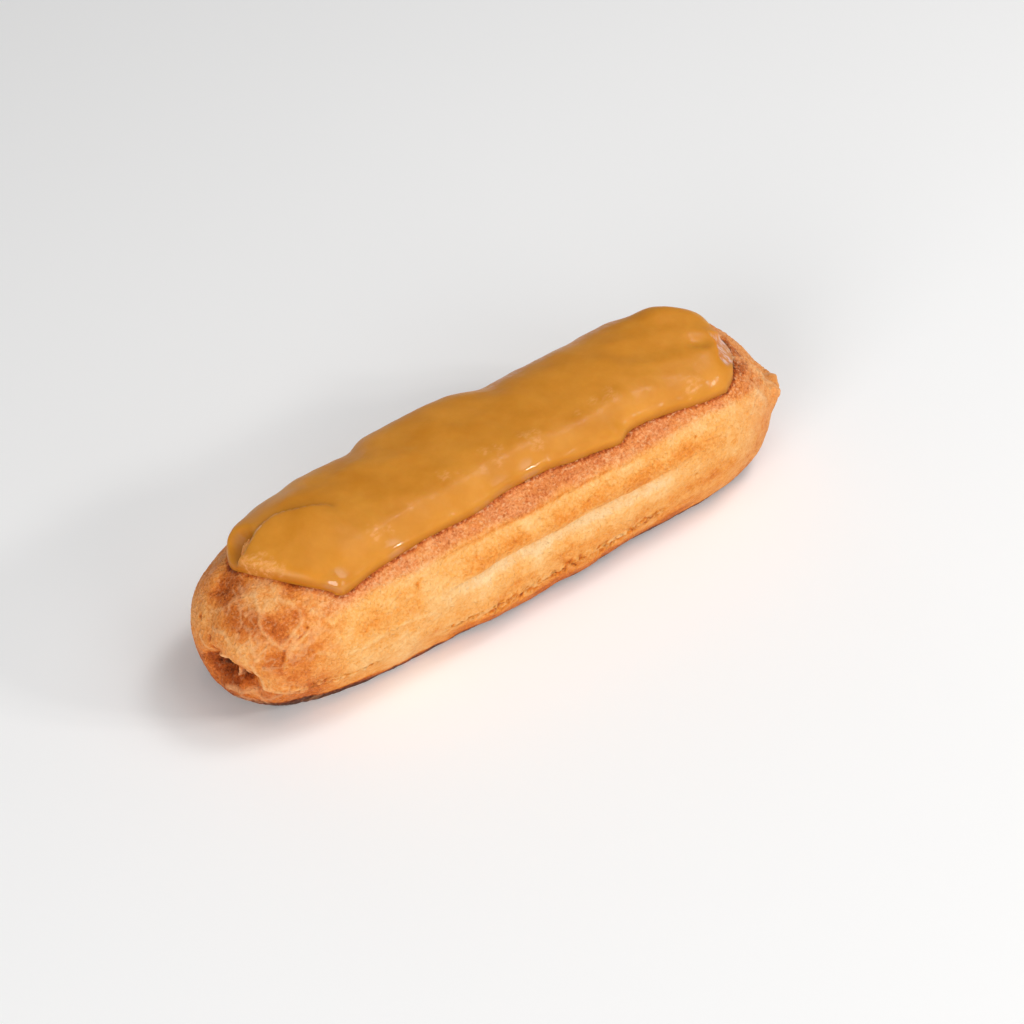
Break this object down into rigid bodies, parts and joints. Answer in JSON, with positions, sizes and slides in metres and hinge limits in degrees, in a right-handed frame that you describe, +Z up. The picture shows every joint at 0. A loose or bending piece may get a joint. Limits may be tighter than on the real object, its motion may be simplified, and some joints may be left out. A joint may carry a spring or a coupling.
{
  "type": "eclair",
  "caption": "Long filled choux pastry with a flat base, rounded ends and a thick glossy coat of caramel-brown icing along its top.",
  "frame": {"origin": "on the ground, under the middle of the overall length and width", "axes": "+X along the eclair, away from the end with the filling hole; +Y across it; +Z up"},
  "size_m": [0.1494, 0.0422, 0.037],
  "materials": {
    "crust": "dry baked golden-brown choux crust, finely wrinkled",
    "icing": "smooth satin-gloss caramel fondant"
  },
  "bodies": {
    "root": {"choux_bun": "crust", "icing": "icing"}
  },
  "joints": []
}
